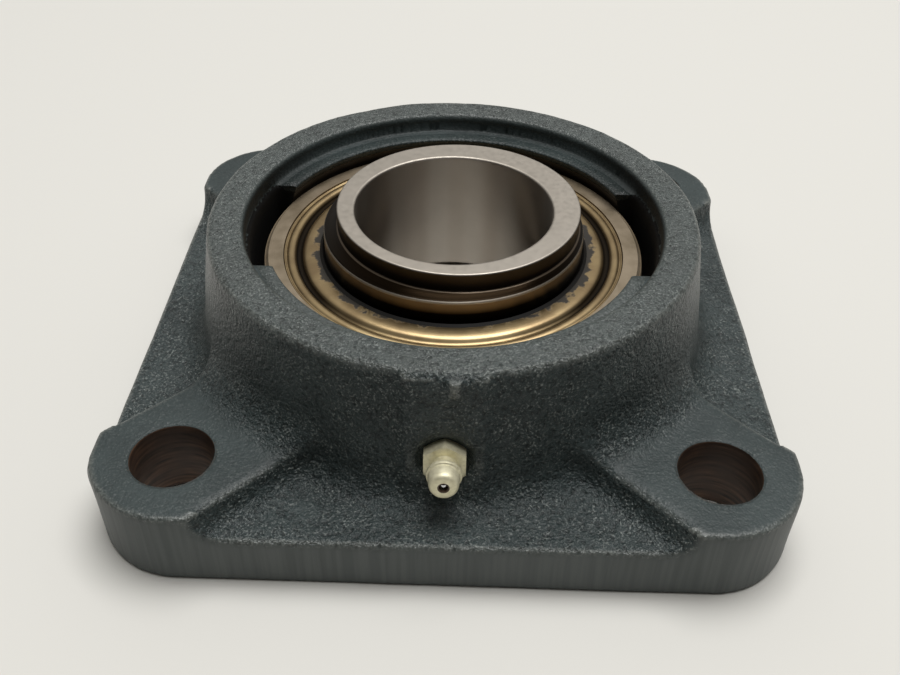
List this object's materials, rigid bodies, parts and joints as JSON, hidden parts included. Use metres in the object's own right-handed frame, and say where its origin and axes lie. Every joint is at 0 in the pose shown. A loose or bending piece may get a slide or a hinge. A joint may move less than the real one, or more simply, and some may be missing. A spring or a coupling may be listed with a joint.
{
  "type": "flange bearing",
  "caption": "Square four-bolt cast flange bearing unit: a self-aligning ball bearing insert with an eccentric locking cam, in a housing with a grease nipple.",
  "frame": {"origin": "middle of the back face, on the shaft's axis", "axes": "+Z out of the back face along the shaft, -Y towards the grease nipple, X and Y along the flange's sides"},
  "size_m": [0.137, 0.137, 0.0417],
  "materials": {
    "housing_paint": "slate grey paint over a sand-cast skin",
    "outer_ring_steel": "hardened steel with a tan oil-stained face",
    "inner_ring_steel": "ground bearing steel",
    "ball_steel": "polished bearing steel",
    "cage_steel": "pressed strip steel",
    "seal_cap_steel": "pressed steel with yellow zinc plating",
    "seal_rubber": "moulded nitrile rubber",
    "nipple_steel": "zinc plated steel",
    "spring_steel": "drawn spring wire"
  },
  "bodies": {
    "housing": {"housing": "housing_paint", "grease_nipple": "nipple_steel", "nipple_spring": "spring_steel", "nipple_spring_seat": "nipple_steel"},
    "insert": {"outer_ring": "outer_ring_steel", "front_seal_cap": "seal_cap_steel", "front_seal_lip": "seal_rubber", "front_seal_backing": "seal_cap_steel", "rear_seal_cap": "seal_cap_steel", "rear_seal_lip": "seal_rubber", "rear_seal_backing": "seal_cap_steel"},
    "inner_ring": {"inner_ring": "inner_ring_steel"},
    "cage": {"cage_front_half": "cage_steel", "cage_rear_half": "cage_steel", "cage_rivets": "cage_steel"},
    "ball_01": {"ball_01": "ball_steel"},
    "ball_02": {"ball_02": "ball_steel"},
    "ball_03": {"ball_03": "ball_steel"},
    "ball_04": {"ball_04": "ball_steel"},
    "ball_05": {"ball_05": "ball_steel"},
    "ball_06": {"ball_06": "ball_steel"},
    "ball_07": {"ball_07": "ball_steel"},
    "ball_08": {"ball_08": "ball_steel"},
    "ball_09": {"ball_09": "ball_steel"},
    "ball_10": {"ball_10": "ball_steel"},
    "nipple_check_ball": {"nipple_check_ball": "ball_steel"}
  },
  "joints": [
    {"name": "insert_align", "type": "hinge", "parent": "housing", "child": "insert", "pos_m": [0, 0, 0.0225], "axis": [1, 0, 0], "range_deg": [-3, 3]},
    {"name": "shaft_spin", "type": "hinge", "parent": "insert", "child": "inner_ring", "pos_m": [0, 0, 0.0225], "axis": [0, 0, 1], "continuous": true},
    {"name": "cage_orbit", "type": "hinge", "parent": "insert", "child": "cage", "pos_m": [0, 0, 0.0225], "axis": [0, 0, 1], "continuous": true},
    {"name": "ball_01_roll", "type": "hinge", "parent": "cage", "child": "ball_01", "pos_m": [0.0325, 0, 0.0225], "axis": [0, 0, 1], "continuous": true},
    {"name": "ball_02_roll", "type": "hinge", "parent": "cage", "child": "ball_02", "pos_m": [0.02629, 0.0191, 0.0225], "axis": [0, 0, 1], "continuous": true},
    {"name": "ball_03_roll", "type": "hinge", "parent": "cage", "child": "ball_03", "pos_m": [0.01004, 0.03091, 0.0225], "axis": [0, 0, 1], "continuous": true},
    {"name": "ball_04_roll", "type": "hinge", "parent": "cage", "child": "ball_04", "pos_m": [-0.01004, 0.03091, 0.0225], "axis": [0, 0, 1], "continuous": true},
    {"name": "ball_05_roll", "type": "hinge", "parent": "cage", "child": "ball_05", "pos_m": [-0.02629, 0.0191, 0.0225], "axis": [0, 0, 1], "continuous": true},
    {"name": "ball_06_roll", "type": "hinge", "parent": "cage", "child": "ball_06", "pos_m": [-0.0325, 0, 0.0225], "axis": [0, 0, 1], "continuous": true},
    {"name": "ball_07_roll", "type": "hinge", "parent": "cage", "child": "ball_07", "pos_m": [-0.02629, -0.0191, 0.0225], "axis": [0, 0, 1], "continuous": true},
    {"name": "ball_08_roll", "type": "hinge", "parent": "cage", "child": "ball_08", "pos_m": [-0.01004, -0.03091, 0.0225], "axis": [0, 0, 1], "continuous": true},
    {"name": "ball_09_roll", "type": "hinge", "parent": "cage", "child": "ball_09", "pos_m": [0.01004, -0.03091, 0.0225], "axis": [0, 0, 1], "continuous": true},
    {"name": "ball_10_roll", "type": "hinge", "parent": "cage", "child": "ball_10", "pos_m": [0.02629, -0.0191, 0.0225], "axis": [0, 0, 1], "continuous": true},
    {"name": "check_ball_lift", "type": "slide", "parent": "housing", "child": "nipple_check_ball", "axis": [0, 0.9896, -0.1438], "range_m": [0, 0.001], "stiffness_N_per_m": 150, "springref_m": -0.0006, "deforming": ["nipple_spring"]}
  ],
  "couplings": [
    {"joint": "cage_orbit", "follows": "shaft_spin", "ratio": 0.40231},
    {"joint": "ball_01_roll", "follows": "shaft_spin", "ratio": -2.4614},
    {"joint": "ball_02_roll", "follows": "shaft_spin", "ratio": -2.4614},
    {"joint": "ball_03_roll", "follows": "shaft_spin", "ratio": -2.4614},
    {"joint": "ball_04_roll", "follows": "shaft_spin", "ratio": -2.4614},
    {"joint": "ball_05_roll", "follows": "shaft_spin", "ratio": -2.4614},
    {"joint": "ball_06_roll", "follows": "shaft_spin", "ratio": -2.4614},
    {"joint": "ball_07_roll", "follows": "shaft_spin", "ratio": -2.4614},
    {"joint": "ball_08_roll", "follows": "shaft_spin", "ratio": -2.4614},
    {"joint": "ball_09_roll", "follows": "shaft_spin", "ratio": -2.4614},
    {"joint": "ball_10_roll", "follows": "shaft_spin", "ratio": -2.4614}
  ]
}
